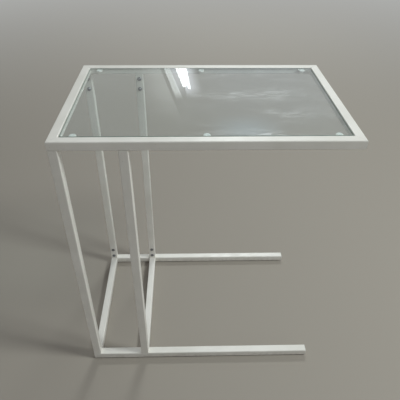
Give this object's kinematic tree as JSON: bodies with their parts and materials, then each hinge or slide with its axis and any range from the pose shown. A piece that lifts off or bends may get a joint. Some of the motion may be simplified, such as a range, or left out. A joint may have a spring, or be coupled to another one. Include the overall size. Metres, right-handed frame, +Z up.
{
  "type": "c-shaped side table",
  "caption": "C-shaped side table: white square-tube steel frame with an inset clear glass top that lifts out, posts at one end and a base that slides under a sofa or bed.",
  "frame": {"origin": "on the floor, under the middle of the top frame", "axes": "+X from the posts to the open end of the C, +Y from front to rear across the table, +Z up"},
  "size_m": [0.55, 0.35, 0.65],
  "materials": {
    "white_powder_coat": "satin white powder coat on steel",
    "clear_glass": "clear toughened glass, seamed edges",
    "clear_soft_pad": "clear soft vinyl",
    "white_plastic": "fine-grained white polyethylene",
    "glide_plastic": "smooth grey polyethylene",
    "zinc_plated_steel": "zinc-plated steel",
    "bare_steel": "bright mild steel"
  },
  "bodies": {
    "table_frame": {"base_crossbar_inner": "white_powder_coat", "base_crossbar_outer": "white_powder_coat", "base_runner_front": "white_powder_coat", "base_runner_rear": "white_powder_coat", "floor_glide_front_open": "glide_plastic", "floor_glide_front_outer": "glide_plastic", "floor_glide_rear_open": "glide_plastic", "floor_glide_rear_outer": "glide_plastic", "glass_lug_front_1": "white_powder_coat", "glass_lug_front_2": "white_powder_coat", "glass_lug_front_3": "white_powder_coat", "glass_lug_rear_1": "white_powder_coat", "glass_lug_rear_2": "white_powder_coat", "glass_lug_rear_3": "white_powder_coat", "glass_pad_front_1": "clear_soft_pad", "glass_pad_front_2": "clear_soft_pad", "glass_pad_front_3": "clear_soft_pad", "glass_pad_rear_1": "clear_soft_pad", "glass_pad_rear_2": "clear_soft_pad", "glass_pad_rear_3": "clear_soft_pad", "lower_screws_front_inner": "zinc_plated_steel", "lower_screws_front_outer": "zinc_plated_steel", "lower_screws_rear_inner": "zinc_plated_steel", "lower_screws_rear_outer": "zinc_plated_steel", "lower_spigot_front_inner": "bare_steel", "lower_spigot_front_outer": "bare_steel", "lower_spigot_rear_inner": "bare_steel", "lower_spigot_rear_outer": "bare_steel", "post_front_inner": "white_powder_coat", "post_front_outer": "white_powder_coat", "post_rear_inner": "white_powder_coat", "post_rear_outer": "white_powder_coat", "runner_cap_front": "white_plastic", "runner_cap_rear": "white_plastic", "top_rail_front": "white_powder_coat", "top_rail_open": "white_powder_coat", "top_rail_outer": "white_powder_coat", "top_rail_rear": "white_powder_coat", "upper_screws_front_inner": "zinc_plated_steel", "upper_screws_front_outer": "zinc_plated_steel", "upper_screws_rear_inner": "zinc_plated_steel", "upper_screws_rear_outer": "zinc_plated_steel", "upper_spigot_front_inner": "bare_steel", "upper_spigot_front_outer": "bare_steel", "upper_spigot_rear_inner": "bare_steel", "upper_spigot_rear_outer": "bare_steel"},
    "glass": {"glass_top": "clear_glass"}
  },
  "joints": [
    {"name": "glass_lift", "type": "slide", "parent": "table_frame", "child": "glass", "axis": [0, 0, 1], "range_m": [0, 0.1]}
  ]
}
